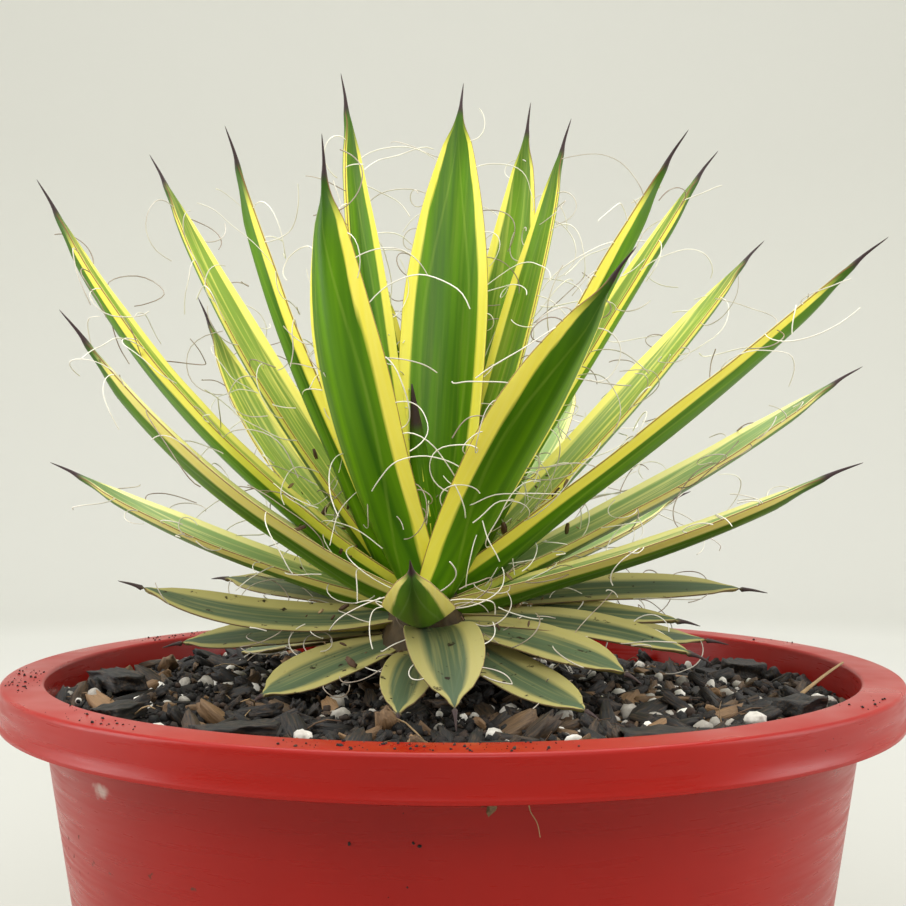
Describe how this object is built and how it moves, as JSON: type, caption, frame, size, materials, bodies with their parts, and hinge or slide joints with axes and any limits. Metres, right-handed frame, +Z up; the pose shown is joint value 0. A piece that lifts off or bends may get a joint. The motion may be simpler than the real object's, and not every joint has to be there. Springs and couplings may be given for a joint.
{
  "type": "potted agave",
  "caption": "Variegated thread agave rosette with channelled, spine-tipped leaves in a round tapered red nursery pot filled with potting mix.",
  "frame": {"origin": "centre of the underside of the pot, on the surface it stands on", "axes": "+Z up along the pot's axis, +X to the right and -Y towards the viewer of the side that shows the low leaf pointing forward"},
  "size_m": [0.2088, 0.2, 0.3016],
  "materials": {
    "pot_plastic": "injection-moulded polypropylene, softly glossy, with soil specks",
    "potting_mix": "moist composted bark mix, crumbly and matt",
    "stem_tissue": "fibrous old leaf bases",
    "bud_leaf": "waxy closed young leaf",
    "old_leaf": "dull bluish green leaf with straw-coloured margins",
    "grown_leaf": "waxy green leaf with broad yellow margins and a thin brown edge",
    "young_leaf": "glossy dark green leaf with broad yellow margins and a thin brown edge",
    "bark": "weathered pine bark chip",
    "perlite": "expanded volcanic glass grain, matt and pitted"
  },
  "bodies": {
    "root": {"pot": "pot_plastic", "soil": "potting_mix", "stem": "stem_tissue", "bud": "bud_leaf", "lower_leaf_01": "old_leaf", "lower_leaf_02": "old_leaf", "lower_leaf_03": "old_leaf", "lower_leaf_04": "old_leaf", "lower_leaf_05": "old_leaf", "lower_leaf_06": "old_leaf", "lower_leaf_07": "old_leaf", "lower_leaf_08": "old_leaf", "lower_leaf_09": "old_leaf", "lower_leaf_10": "old_leaf", "lower_leaf_11": "old_leaf", "lower_leaf_12": "old_leaf", "lower_leaf_13": "old_leaf", "lower_leaf_14": "old_leaf", "lower_leaf_15": "old_leaf", "lower_leaf_16": "old_leaf", "lower_leaf_17": "old_leaf", "middle_leaf_01": "grown_leaf", "middle_leaf_02": "grown_leaf", "middle_leaf_03": "grown_leaf", "middle_leaf_04": "grown_leaf", "middle_leaf_05": "grown_leaf", "middle_leaf_06": "grown_leaf", "middle_leaf_07": "grown_leaf", "middle_leaf_08": "grown_leaf", "middle_leaf_09": "grown_leaf", "middle_leaf_10": "grown_leaf", "upper_leaf_01": "young_leaf", "upper_leaf_02": "young_leaf", "upper_leaf_03": "young_leaf", "upper_leaf_04": "young_leaf", "upper_leaf_05": "young_leaf", "upper_leaf_06": "young_leaf", "upper_leaf_07": "young_leaf", "upper_leaf_08": "young_leaf", "upper_leaf_09": "young_leaf", "upper_leaf_10": "young_leaf", "upper_leaf_11": "young_leaf", "upper_leaf_12": "young_leaf", "upper_leaf_13": "young_leaf", "upper_leaf_14": "young_leaf", "upper_leaf_15": "young_leaf", "upper_leaf_16": "young_leaf", "upper_leaf_17": "young_leaf", "bark_chip_01": "bark", "bark_chip_02": "bark", "bark_chip_03": "bark", "bark_chip_04": "bark", "bark_chip_05": "bark", "bark_chip_06": "bark", "bark_chip_07": "bark", "perlite_grain_01": "perlite", "perlite_grain_02": "perlite", "perlite_grain_03": "perlite", "perlite_grain_04": "perlite", "perlite_grain_05": "perlite"}
  },
  "joints": []
}
